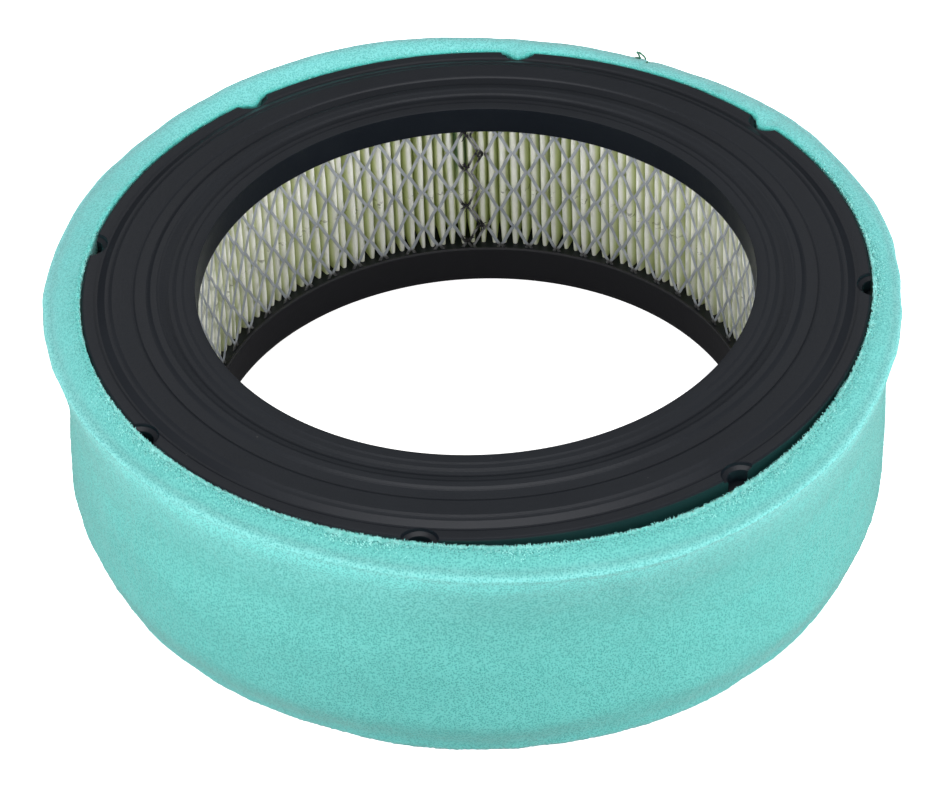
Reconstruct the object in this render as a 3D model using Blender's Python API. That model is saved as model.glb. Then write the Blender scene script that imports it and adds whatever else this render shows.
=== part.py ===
"""Round air-filter cartridge with a foam pre-cleaner sleeve, for a small engine.

Seven separate pieces: a sewn foam sleeve and its seam thread, two moulded end
caps, a ring of pleated paper, and an inner and an outer expanded-metal screen.
Metres, +Z up. The origin is the centre of the sleeve's bottom edge, which is
what the object stands on.
"""

import math

import bmesh
import bpy
from mathutils import Vector

MM = 0.001

# --- driving dimensions, in millimetres --------------------------------------
SEGMENTS = 64                # facets round every turned piece
FLANGE_Z = 58.9              # upper cap's sealing flange above the sleeve's bottom edge
LIP_RISE = 1.3               # inner lip above the flange
CARTRIDGE_BOTTOM_Z = 10.5    # lower cap's lip; the sleeve hangs this far below it
UPPER_CAP_R = 86.5
LOWER_CAP_R = 84.0
CAP_BORE_R = 60.6
LAND = 0.84                  # the flat middle land above the rim flange
CAP_FLOOR = 3.6              # from a cap's face to the floor of its channel
UPPER_SKIRT = 4.75           # depth of the upper cap below its face
LOWER_SKIRT = 8.45           # depth of the lower cap above its face
CHANNEL_IN_R = 61.45
CHANNEL_OUT_R = 79.4
NOTCH_DEGS = (38.6, 82.0, 125.7, 168.6, 214.7, 261.0, 307.4, 355.0)   # not quite evenly spaced
NOTCH_CENTRE_R = 87.4
NOTCH_R = 2.85
NOTCH_STEP_R = 4.15          # the wider shallow step at the face
NOTCH_STEP_Z = 1.1
NOTCH_DEPTH = 4.0            # blind: a thin web closes the bottom

SCREEN_THICKNESS = 0.5
INNER_SCREEN_R = 61.85       # its bore side
OUTER_SCREEN_R = 78.5        # its paper side
INNER_COLUMNS = 56           # diamonds round the inner screen
INNER_ROWS = 5               # staggered rows of diamonds
INNER_STRAND = 0.9
INNER_BAND = 3.2             # plain edge band, most of it inside the caps' channels
OUTER_COLUMNS = 36
OUTER_ROWS = 3
OUTER_STRAND = 1.8
OUTER_BAND = 3.0

PLEATS = 164
PLEAT_IN_R = 62.85
PLEAT_OUT_R = 78.0
PLEAT_FOLD = 3.6             # depth over which the two walls of a fold merge
END_GAP = 0.35               # paper and screens to the channel floors

SEAM_DEG = 62.5              # where the sleeve's strip is sewn end to end
THREAD_R = 0.35
THREAD_OFF = 0.8             # thread's centreline off the foam's outer face


def material(name, colour, roughness, metallic=0.0):
    mat = bpy.data.materials.new(name)
    mat.use_nodes = True
    shader = mat.node_tree.nodes["Principled BSDF"]
    shader.inputs["Base Color"].default_value = (*colour, 1.0)
    shader.inputs["Roughness"].default_value = roughness
    shader.inputs["Metallic"].default_value = metallic
    mat.diffuse_color = (*colour, 1.0)
    return mat


def finish(name, bm, mat, parent, sharp_deg=30.0):
    bmesh.ops.recalc_face_normals(bm, faces=bm.faces)
    mesh = bpy.data.meshes.new(name)
    bm.to_mesh(mesh)
    bm.free()
    mesh.shade_smooth()
    mesh.set_sharp_from_angle(angle=math.radians(sharp_deg))
    mesh.materials.append(mat)
    obj = bpy.data.objects.new(name, mesh)
    bpy.context.scene.collection.objects.link(obj)
    obj.parent = parent
    return obj


def turned(profile, segments=SEGMENTS):
    """A ring turned about Z from a closed profile of (radius, height) in millimetres."""
    bm = bmesh.new()
    rings = []
    for i in range(segments):
        a = 2 * math.pi * i / segments
        rings.append(
            [
                bm.verts.new((r * math.cos(a) * MM, r * math.sin(a) * MM, z * MM))
                for r, z in profile
            ]
        )
    n = len(profile)
    for i in range(segments):
        here, there = rings[i], rings[(i + 1) % segments]
        for k in range(n):
            bm.faces.new((here[k], there[k], there[(k + 1) % n], here[(k + 1) % n]))
    return bm


def cap_profile(outer_r, skirt, face_z, up):
    """A cap's section: ridged face, outer wall, channel for the paper and screens, inner skirt.
    Heights are from the cap's face, and up is +1 for the upper cap and -1 for the lower."""
    edge = outer_r - UPPER_CAP_R
    face = [
        (outer_r, -0.45),
        (outer_r - 0.4, 0.0),
        (83.95 + edge, 0.0),           # flat rim flange
        (83.1 + edge, -0.12),          # hollow at the foot of the land
        (82.6 + edge, 0.04),
        (81.3 + edge, 0.54),           # broad slope up, then a small step
        (80.75 + edge, 0.58),
        (79.7 + edge, LAND),
        (75.4, LAND),                  # flat middle land
        (74.75, 0.58),                 # fine line round its inner edge
        (73.3, 0.66),
        (72.3, 0.76),                  # shallow hollow
        (71.3, 1.1),
        (70.0, 1.2),                   # second ridge
        (69.3, 1.08),
        (68.2, 1.0),
        (67.5, 0.76),
        (66.6, 0.86),                  # hollow behind the lip
        (65.5, 1.13),
        (64.35, 1.15),
        (63.75, LIP_RISE),             # flat inner lip
        (61.9, LIP_RISE),
        (60.95, 0.8),
        (CAP_BORE_R, -0.2),
    ]
    channel = [
        (CAP_BORE_R, -skirt),
        (CHANNEL_IN_R, -skirt),
        (CHANNEL_IN_R, -CAP_FLOOR),
        (CHANNEL_OUT_R, -CAP_FLOOR),
        (CHANNEL_OUT_R, -skirt),
        (outer_r - 0.4, -skirt),
        (outer_r, -skirt + 0.4),
    ]
    return [(r, face_z + up * h) for r, h in face + channel]


def add_notches(obj, face_z, sides=14):
    """Half-round notches in the rim, each with a wider shallow step at the face.
    The cutters are stepped pins that stand just outside the rim's edge."""
    section = [
        (NOTCH_R, face_z - NOTCH_DEPTH),
        (NOTCH_R, face_z - NOTCH_STEP_Z - 0.2),
        (NOTCH_STEP_R, face_z - NOTCH_STEP_Z + 0.2),
        (NOTCH_STEP_R, face_z + 2.0),
    ]
    bm = bmesh.new()
    for degrees in NOTCH_DEGS:
        a = math.radians(degrees)
        x, y = NOTCH_CENTRE_R * math.cos(a), NOTCH_CENTRE_R * math.sin(a)
        rings = [
            [
                bm.verts.new(
                    (
                        (x + r * math.cos(a + 2 * math.pi * i / sides)) * MM,
                        (y + r * math.sin(a + 2 * math.pi * i / sides)) * MM,
                        z * MM,
                    )
                )
                for i in range(sides)
            ]
            for r, z in section
        ]
        for lower, higher in zip(rings, rings[1:]):
            for i in range(sides):
                j = (i + 1) % sides
                bm.faces.new((lower[i], lower[j], higher[j], higher[i]))
        bm.faces.new(rings[0][::-1])
        bm.faces.new(rings[-1])
    bmesh.ops.recalc_face_normals(bm, faces=bm.faces)
    mesh = bpy.data.meshes.new("notch_cutter")
    bm.to_mesh(mesh)
    bm.free()
    cutter = bpy.data.objects.new("notch_cutter", mesh)
    bpy.context.scene.collection.objects.link(cutter)
    cutter.hide_render = True
    cutter.display_type = "WIRE"
    cut = obj.modifiers.new("notches", "BOOLEAN")
    cut.operation = "DIFFERENCE"
    cut.object = cutter


def pleated_ring(z_low, z_high):
    """The paper: one closed zigzag ribbon. Its bore-side surface and its outer surface are
    two zigzags a fold's depth apart, joined top and bottom."""
    bm = bmesh.new()
    levels = []
    for z in (z_low, z_high):
        inner, outer = [], []
        for k in range(PLEATS):
            for half in (0, 1):
                a = 2 * math.pi * (k + half / 2) / PLEATS
                tip = PLEAT_IN_R if half == 0 else PLEAT_OUT_R - PLEAT_FOLD
                back = PLEAT_IN_R + PLEAT_FOLD if half == 0 else PLEAT_OUT_R
                inner.append(
                    bm.verts.new((tip * math.cos(a) * MM, tip * math.sin(a) * MM, z * MM))
                )
                outer.append(
                    bm.verts.new((back * math.cos(a) * MM, back * math.sin(a) * MM, z * MM))
                )
        levels.append((inner, outer))
    (in0, out0), (in1, out1) = levels
    n = len(in0)
    for i in range(n):
        j = (i + 1) % n
        bm.faces.new((in0[i], in1[i], in1[j], in0[j]))
        bm.faces.new((out0[i], out0[j], out1[j], out1[i]))
        bm.faces.new((in0[i], in0[j], out0[j], out0[i]))
        bm.faces.new((in1[i], out1[i], out1[j], in1[j]))
    return bm


def screen(inner_r, z_low, z_high, columns, rows, strand, band):
    """Expanded metal rolled to a tube: staggered diamond holes between plain edge bands."""
    pitch = 2 * math.pi / columns
    half_row = (z_high - z_low - 2 * band) / (rows + 1)
    across = pitch * inner_r
    # a strand's width measured along each axis of the diamond
    slope = math.hypot(across / 2, half_row)
    cut_a = strand / 2 * slope / half_row / inner_r
    cut_z = strand / 2 * slope / (across / 2)
    bm = bmesh.new()

    def vert(side, a, z):
        r = inner_r + (SCREEN_THICKNESS if side else 0.0)
        return bm.verts.new((r * math.cos(a) * MM, r * math.sin(a) * MM, z * MM))

    sides = []
    for side in (0, 1):
        holes = {}
        for j in range(rows):
            z = z_low + band + half_row * (j + 1)
            for i in range(columns):
                a = pitch * (i + (0.5 if j % 2 == 0 else 0.0))
                holes[j, i] = {
                    "L": vert(side, a - pitch / 2 + cut_a, z),
                    "R": vert(side, a + pitch / 2 - cut_a, z),
                    "T": vert(side, a, z + half_row - cut_z),
                    "B": vert(side, a, z - half_row + cut_z),
                }
        low = [vert(side, pitch * i / 2, z_low) for i in range(2 * columns)]
        high = [vert(side, pitch * i / 2, z_high) for i in range(2 * columns)]
        sides.append((holes, low, high))

    def hole(j, half_index):
        """The hole of row j whose centre is half_index half-pitches round."""
        h = half_index % (2 * columns)
        return j, (h - 1) // 2 if j % 2 == 0 else h // 2

    def skin(holes, low, high):
        faces = []
        for j in range(rows):
            for i in range(columns):
                # the node of row j midway between two holes of that row
                node = 2 * i if j % 2 == 0 else 2 * i + 1
                left, right = holes[hole(j, node - 1)], holes[hole(j, node + 1)]
                above = holes[hole(j + 1, node)]["B"] if j + 1 < rows else high[node % (2 * columns)]
                below = holes[hole(j - 1, node)]["T"] if j > 0 else low[node % (2 * columns)]
                faces.append((left["R"], below, right["L"], above))
                if j + 1 < rows:
                    up = holes[hole(j + 1, node)]
                    faces.append((up["B"], right["L"], right["T"], up["R"]))
                    faces.append((up["B"], up["L"], left["T"], left["R"]))
        for edge, j, far, near in ((low, 0, "B", -1), (high, rows - 1, "T", 1)):
            for i in range(columns):
                centre = 2 * i + 1 if j % 2 == 0 else 2 * i
                h = holes[hole(j, centre)]
                c = edge[centre % (2 * columns)]
                before = edge[(centre - 1) % (2 * columns)]
                after = edge[(centre + 1) % (2 * columns)]
                faces.append((h["L"], before, c, h[far]))
                faces.append((h[far], c, after, h["R"]))
        return faces

    for holes, low, high in sides:
        for f in skin(holes, low, high):
            bm.faces.new(f)
    (h0, low0, high0), (h1, low1, high1) = sides
    for key, a in h0.items():
        b = h1[key]
        for p, q in (("L", "T"), ("T", "R"), ("R", "B"), ("B", "L")):
            bm.faces.new((a[p], a[q], b[q], b[p]))
    n = 2 * columns
    for e0, e1 in ((low0, low1), (high0, high1)):
        for i in range(n):
            bm.faces.new((e0[i], e0[(i + 1) % n], e1[(i + 1) % n], e1[i]))
    return bm


# The sleeve's section. It is stretched wide by the upper flange, follows the lower cap,
# and turns in under it, which is what the cartridge rests on.
SLEEVE_OUTER = [
    (94.5, 56.6),
    (94.3, 53.5),
    (92.6, 48.5),
    (91.5, 37.0),
    (91.3, 25.0),
    (91.6, 14.0),
    (90.4, 8.5),
    (88.4, 3.2),
    (86.9, 0.7),
    (85.2, 0.0),
]
SLEEVE_INNER = [
    (82.6, 0.0),
    (81.3, 0.9),
    (81.0, 4.0),
    (81.8, 8.4),
    (84.35, 10.2),
    (84.5, 30.0),
    (85.2, 47.5),
    (86.95, 53.2),
    (87.1, 57.8),
    (88.2, 58.4),
]


def tube(points, radius, sides=6):
    """A closed round tube along a smooth line of points, in millimetres."""
    bm = bmesh.new()
    rings = []
    for i, p in enumerate(points):
        ahead = points[min(i + 1, len(points) - 1)] - points[max(i - 1, 0)]
        t = ahead.normalized()
        u = t.orthogonal().normalized() if not rings else (u - t * u.dot(t)).normalized()
        v = t.cross(u)
        rings.append(
            [
                bm.verts.new(
                    (p + (u * math.cos(2 * math.pi * s / sides) + v * math.sin(2 * math.pi * s / sides)) * radius) * MM
                )
                for s in range(sides)
            ]
        )
    for a, b in zip(rings, rings[1:]):
        for s in range(sides):
            bm.faces.new((a[s], a[(s + 1) % sides], b[(s + 1) % sides], b[s]))
    bm.faces.new(rings[0][::-1])
    bm.faces.new(rings[-1])
    return bm


def seam_line():
    """The seam thread: up the sleeve's outer face, over its top arris, and a short loose tail."""
    a = math.radians(SEAM_DEG)
    out = Vector((math.cos(a), math.sin(a), 0))
    side = Vector((-math.sin(a), math.cos(a), 0))
    up = Vector((0, 0, 1))
    line = [(r + THREAD_OFF, z) for r, z in SLEEVE_OUTER[-3::-1]]
    points = [out * r + up * z for r, z in line]
    points.append(out * 94.6 + up * 58.0)
    points.append(out * 94.0 + up * 58.8 + side * 1.2)
    points.append(out * 93.6 + up * 59.1 + side * 3.4)
    return points


def main():
    for o in list(bpy.data.objects):
        bpy.data.objects.remove(o)

    foam = material("foam_green", (0.17, 0.63, 0.58), 0.95)
    thread = material("thread_green", (0.02, 0.16, 0.13), 0.8)
    moulded = material("cap_black", (0.022, 0.024, 0.028), 0.55)
    paper = material("filter_paper", (0.78, 0.8, 0.66), 0.9)
    steel = material("screen_steel", (0.3, 0.33, 0.36), 0.45, 0.8)

    scene = bpy.context.scene.collection
    precleaner = bpy.data.objects.new("precleaner", None)
    scene.objects.link(precleaner)
    cartridge = bpy.data.objects.new("cartridge", None)
    scene.objects.link(cartridge)

    finish("foam_sleeve", turned(SLEEVE_OUTER + SLEEVE_INNER), foam, precleaner, 60)
    finish("sleeve_seam_thread", tube(seam_line(), THREAD_R), thread, precleaner, 60)

    lower_face_z = CARTRIDGE_BOTTOM_Z + LIP_RISE
    upper = finish(
        "upper_end_cap",
        turned(cap_profile(UPPER_CAP_R, UPPER_SKIRT, FLANGE_Z, 1)),
        moulded,
        cartridge,
    )
    add_notches(upper, FLANGE_Z)
    finish(
        "lower_end_cap",
        turned(cap_profile(LOWER_CAP_R, LOWER_SKIRT, lower_face_z, -1)),
        moulded,
        cartridge,
    )

    low = lower_face_z + CAP_FLOOR + END_GAP
    high = FLANGE_Z - CAP_FLOOR - END_GAP
    finish("pleated_paper", pleated_ring(low, high), paper, cartridge, 20)
    mesh = screen(INNER_SCREEN_R, low, high, INNER_COLUMNS, INNER_ROWS, INNER_STRAND, INNER_BAND)
    finish("inner_screen", mesh, steel, cartridge, 30)
    mesh = screen(OUTER_SCREEN_R, low, high, OUTER_COLUMNS, OUTER_ROWS, OUTER_STRAND, OUTER_BAND)
    finish("outer_screen", mesh, steel, cartridge, 30)


main()
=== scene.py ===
"""Looks of the round air filter cartridge and its foam pre-cleaner sleeve."""

import math
import random

import bmesh
import bpy
import numpy as np
from mathutils import Matrix, Vector, noise


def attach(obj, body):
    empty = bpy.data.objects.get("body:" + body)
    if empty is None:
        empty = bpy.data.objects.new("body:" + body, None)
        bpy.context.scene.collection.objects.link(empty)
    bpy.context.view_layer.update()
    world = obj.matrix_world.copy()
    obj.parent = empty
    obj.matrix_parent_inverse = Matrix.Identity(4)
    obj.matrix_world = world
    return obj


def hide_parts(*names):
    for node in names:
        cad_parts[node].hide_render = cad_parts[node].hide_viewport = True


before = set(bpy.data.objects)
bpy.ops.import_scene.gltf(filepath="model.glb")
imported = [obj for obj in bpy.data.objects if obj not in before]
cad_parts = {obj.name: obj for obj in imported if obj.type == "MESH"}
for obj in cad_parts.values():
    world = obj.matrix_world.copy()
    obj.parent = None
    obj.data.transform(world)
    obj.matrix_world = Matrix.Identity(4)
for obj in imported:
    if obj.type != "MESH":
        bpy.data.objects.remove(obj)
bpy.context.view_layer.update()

MM = 0.001
FLANGE_Z = 58.9          # upper cap's flange plane, mm above the sleeve's bottom edge
LOWER_FACE_Z = 11.8
CAP_R = 86.5
LOWER_CAP_R = 84.0
SEAM_DEG = 62.5
NOTCH_DEGS = (38.6, 82.0, 125.7, 168.6, 214.7, 261.0, 307.4, 355.0)
TAU = 2 * math.pi


# ------------------------------------------------------------------ mesh tools
def quad_mesh(name, co, quads, attributes=None):
    """An object from an array of points in millimetres and an array of quads."""
    mesh = bpy.data.meshes.new(name)
    co = np.asarray(co, np.float32).reshape(-1, 3) * MM
    quads = np.asarray(quads, np.int32).reshape(-1, 4)
    mesh.vertices.add(len(co))
    mesh.vertices.foreach_set("co", co.ravel())
    mesh.loops.add(quads.size)
    mesh.loops.foreach_set("vertex_index", quads.ravel())
    mesh.polygons.add(len(quads))
    mesh.polygons.foreach_set("loop_start", np.arange(0, quads.size, 4, dtype=np.int32))
    mesh.update(calc_edges=True)
    for key, values in (attributes or {}).items():
        layer = mesh.attributes.new(key, "FLOAT", "POINT")
        layer.data.foreach_set("value", np.asarray(values, np.float32).ravel())
    obj = bpy.data.objects.new(name, mesh)
    bpy.context.scene.collection.objects.link(obj)
    return obj


def ring_quads(n_around, n_along, closed_along=True, offset=0):
    """Quads of a grid that closes round the axis, and along its section if asked."""
    i = np.arange(n_around)
    j = np.arange(n_along if closed_along else n_along - 1)
    a, b = np.meshgrid(i, j, indexing="ij")
    a1, b1 = (a + 1) % n_around, (b + 1) % n_along
    q = np.stack([a * n_along + b, a1 * n_along + b, a1 * n_along + b1, a * n_along + b1], -1)
    return q.reshape(-1, 4) + offset


def shade(obj, angle=None):
    obj.data.shade_smooth()
    if angle is not None:
        obj.data.set_sharp_from_angle(angle=math.radians(angle))
    return obj


def filleted(points, steps=4):
    """A section whose corners are rounded: points are (r, z, fillet radius)."""
    out = []
    n = len(points)
    for i, (r, z, rho) in enumerate(points):
        p = np.array([r, z], float)
        if rho <= 0:
            out.append(p)
            continue
        a = np.array(points[i - 1][:2], float) - p
        b = np.array(points[(i + 1) % n][:2], float) - p
        la, lb = np.linalg.norm(a), np.linalg.norm(b)
        a, b = a / la, b / lb
        half = math.acos(max(-1, min(1, float(a @ b)))) / 2
        if half > math.radians(88):
            out.append(p)
            continue
        cut = min(rho / math.tan(half), 0.48 * la, 0.48 * lb)
        p0, p1 = p + a * cut, p + b * cut
        for t in np.linspace(0, 1, steps + 1):
            out.append((1 - t) ** 2 * p0 + 2 * t * (1 - t) * p + t * t * p1)
    return np.array(out)


def refine(section, longest):
    """Splits a closed section's long runs, so that no step is over longest."""
    out = []
    n = len(section)
    for i in range(n):
        p, q = section[i], section[(i + 1) % n]
        out.append(p)
        parts = int(np.linalg.norm(q - p) / longest)
        for k in range(1, parts + 1):
            out.append(p + (q - p) * k / (parts + 1))
    return np.array(out)


def turned(name, section, angles):
    c, s = np.cos(angles), np.sin(angles)
    co = np.stack(
        [c[:, None] * section[None, :, 0], s[:, None] * section[None, :, 0], np.broadcast_to(section[:, 1], (len(angles), len(section)))],
        -1,
    )
    return quad_mesh(name, co, ring_quads(len(angles), len(section)))


# -------------------------------------------------------------- material tools
class Mat:
    """A small helper round a node tree."""

    def __init__(self, name):
        self.mat = bpy.data.materials.new(name)
        self.mat.use_nodes = True
        self.tree = self.mat.node_tree
        self.bsdf = self.tree.nodes["Principled BSDF"]
        self.out = self.tree.nodes["Material Output"]

    def node(self, kind, **values):
        n = self.tree.nodes.new(kind)
        for key, value in values.items():
            setattr(n, key, value)
        return n

    def link(self, a, b):
        self.tree.links.new(a, b)

    def coords(self):
        return self.node("ShaderNodeTexCoord").outputs["Object"]

    def noise(self, scale, detail=3.0, rough=0.55, vector=None, distortion=0.0):
        n = self.node("ShaderNodeTexNoise")
        n.inputs["Scale"].default_value = scale
        n.inputs["Detail"].default_value = detail
        n.inputs["Roughness"].default_value = rough
        n.inputs["Distortion"].default_value = distortion
        self.link(vector or self.coords(), n.inputs["Vector"])
        return n.outputs["Fac"]

    def voronoi(self, scale, feature="F1", vector=None, randomness=1.0):
        n = self.node("ShaderNodeTexVoronoi", feature=feature)
        n.inputs["Scale"].default_value = scale
        n.inputs["Randomness"].default_value = randomness
        self.link(vector or self.coords(), n.inputs["Vector"])
        return n.outputs["Distance"]

    def attribute(self, name):
        n = self.node("ShaderNodeAttribute", attribute_name=name)
        return n.outputs["Fac"]

    def ramp(self, fac, stops):
        n = self.node("ShaderNodeValToRGB")
        self.link(fac, n.inputs["Fac"])
        elements = n.color_ramp.elements
        while len(elements) < len(stops):
            elements.new(0.5)
        for e, (pos, colour) in zip(elements, stops):
            e.position = pos
            e.color = (*colour, 1.0) if len(colour) == 3 else colour
        return n.outputs["Color"]

    def span(self, fac, low, high, to_low=0.0, to_high=1.0, smooth=False):
        n = self.node("ShaderNodeMapRange")
        if smooth:
            n.interpolation_type = "SMOOTHSTEP"
        self.link(fac, n.inputs["Value"])
        for key, v in (("From Min", low), ("From Max", high), ("To Min", to_low), ("To Max", to_high)):
            n.inputs[key].default_value = v
        return n.outputs["Result"]

    def mix(self, fac, a, b, blend="MIX"):
        n = self.node("ShaderNodeMix", data_type="RGBA", blend_type=blend)
        for value, key in ((fac, 0), (a, 6), (b, 7)):
            if isinstance(value, (int, float)):
                n.inputs[key].default_value = value
            elif isinstance(value, tuple):
                n.inputs[key].default_value = (*value, 1.0)
            else:
                self.link(value, n.inputs[key])
        return n.outputs[2]

    def math(self, op, a, b=None, c=None):
        n = self.node("ShaderNodeMath", operation=op)
        for i, value in enumerate((a, b, c)):
            if value is None:
                continue
            if isinstance(value, (int, float)):
                n.inputs[i].default_value = value
            else:
                self.link(value, n.inputs[i])
        return n.outputs[0]

    def bump(self, height, distance, strength=1.0, normal=None):
        n = self.node("ShaderNodeBump")
        n.inputs["Strength"].default_value = strength
        n.inputs["Distance"].default_value = distance
        self.link(height, n.inputs["Height"])
        if normal is not None:
            self.link(normal, n.inputs["Normal"])
        return n.outputs["Normal"]

    def radius(self):
        """Distance from the cartridge's axis, in metres."""
        sep = self.node("ShaderNodeSeparateXYZ")
        self.link(self.coords(), sep.inputs[0])
        return self.math("SQRT", self.math("ADD", self.math("MULTIPLY", sep.outputs[0], sep.outputs[0]), self.math("MULTIPLY", sep.outputs[1], sep.outputs[1])))

    def height(self):
        sep = self.node("ShaderNodeSeparateXYZ")
        self.link(self.coords(), sep.inputs[0])
        return sep.outputs[2]


# --------------------------------------------------------------------- camera
LENS = 4056.5 / 946 * 36
ELEVATION = 0.6906
ROLL = -0.0376
DISTANCE = 10.2849 * CAP_R


def make_camera():
    c, s = math.cos(ELEVATION), math.sin(ELEVATION)
    ahead = Vector((0, c, -s))
    right = Vector((1, 0, 0))
    up = right.cross(ahead)
    right, up = (
        right * math.cos(ROLL) + up * math.sin(ROLL),
        up * math.cos(ROLL) - right * math.sin(ROLL),
    )
    top = Vector((0, 0, FLANGE_Z))
    place = top - right * (0.00674 * CAP_R) - up * (0.29364 * CAP_R) - ahead * DISTANCE
    data = bpy.data.cameras.new("camera")
    data.lens = LENS
    data.sensor_width = 36
    data.sensor_fit = "HORIZONTAL"
    data.clip_start, data.clip_end = 0.01, 50
    cam = bpy.data.objects.new("camera", data)
    cam.matrix_world = Matrix.Translation(place * MM) @ Matrix((right, up, -ahead)).transposed().to_4x4()
    bpy.context.scene.collection.objects.link(cam)
    bpy.context.scene.camera = cam


# ----------------------------------------------------------------- foam sleeve
# The sleeve is a little out of round. Cosine and sine terms, in mm, of its radius at the
# bottom, middle and top of its wall, and of its top edge's height.
OUT_LEVELS = np.array([0.0, 1.2, 4.0, 12.0, 24.0, 36.0, 48.0, 53.0, 57.0])
OUT_RADII = np.array([85.4, 87.9, 89.0, 91.35, 91.2, 90.9, 92.3, 93.5, 94.3])
LOBES_LOW = np.array([-1.0, -0.55, 0.2, -0.55, -0.45, 0.4])
LOBES_MID = np.array([-0.35, -0.05, 0.15, 0.45, 0.0, 0.4])
LOBES_TOP = np.array([-0.25, -1.0, -0.15, -1.35, -1.0, 0.6])
LOBES_EDGE = np.array([0.8, 1.5, -0.9, -0.4, 1.3, 0.15])


def pchip(x, y, at):
    """Monotone cubic interpolation."""
    h = np.diff(x)
    d = np.diff(y) / h
    m = np.zeros(len(x))
    m[0], m[-1] = d[0], d[-1]
    for k in range(1, len(x) - 1):
        if d[k - 1] * d[k] > 0:
            w1, w2 = 2 * h[k] + h[k - 1], h[k] + 2 * h[k - 1]
            m[k] = (w1 + w2) / (w1 / d[k - 1] + w2 / d[k])
    k = np.clip(np.searchsorted(x, at) - 1, 0, len(h) - 1)
    t = (at - x[k]) / h[k]
    return (
        y[k] * (1 + 2 * t) * (1 - t) ** 2
        + m[k] * h[k] * t * (1 - t) ** 2
        + y[k + 1] * t * t * (3 - 2 * t)
        + m[k + 1] * h[k] * t * t * (t - 1)
    )


def lobes(angles, terms):
    return sum(
        terms[2 * k] * np.cos((k + 1) * angles) + terms[2 * k + 1] * np.sin((k + 1) * angles)
        for k in range(len(terms) // 2)
    )


def bell(angles, centre, width):
    """A smooth bump round the azimuth centre, both in degrees."""
    d = (np.degrees(angles) - centre + 180) % 360 - 180
    return np.exp(-((d / width) ** 2))


def gap_round(angles):
    """How far the sleeve's inner top edge stands off the cap, and how far below its face it lies:
    it hugs the cap on the left and back, and stands off at the front right."""
    return 0.3 + 2.5 * bell(angles, -62, 27), 0.15 + 1.35 * bell(angles, -65, 35)


def top_swell(angles):
    """Unevenness of the top edge that the cosine and sine terms leave out."""
    lean = np.clip(-np.sin(angles), 0, 1) ** 2
    r = 0.55 * bell(angles, 15, 32) + 0.6 * bell(angles, 44, 14) + 1.2 * bell(angles, 105, 9) + 0.8 * bell(angles, 152, 28) - 0.5 * bell(angles, 196, 16) + 0.45 * bell(angles, 66, 6)
    return r - 0.8 * lean, -0.66 * lean


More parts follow.
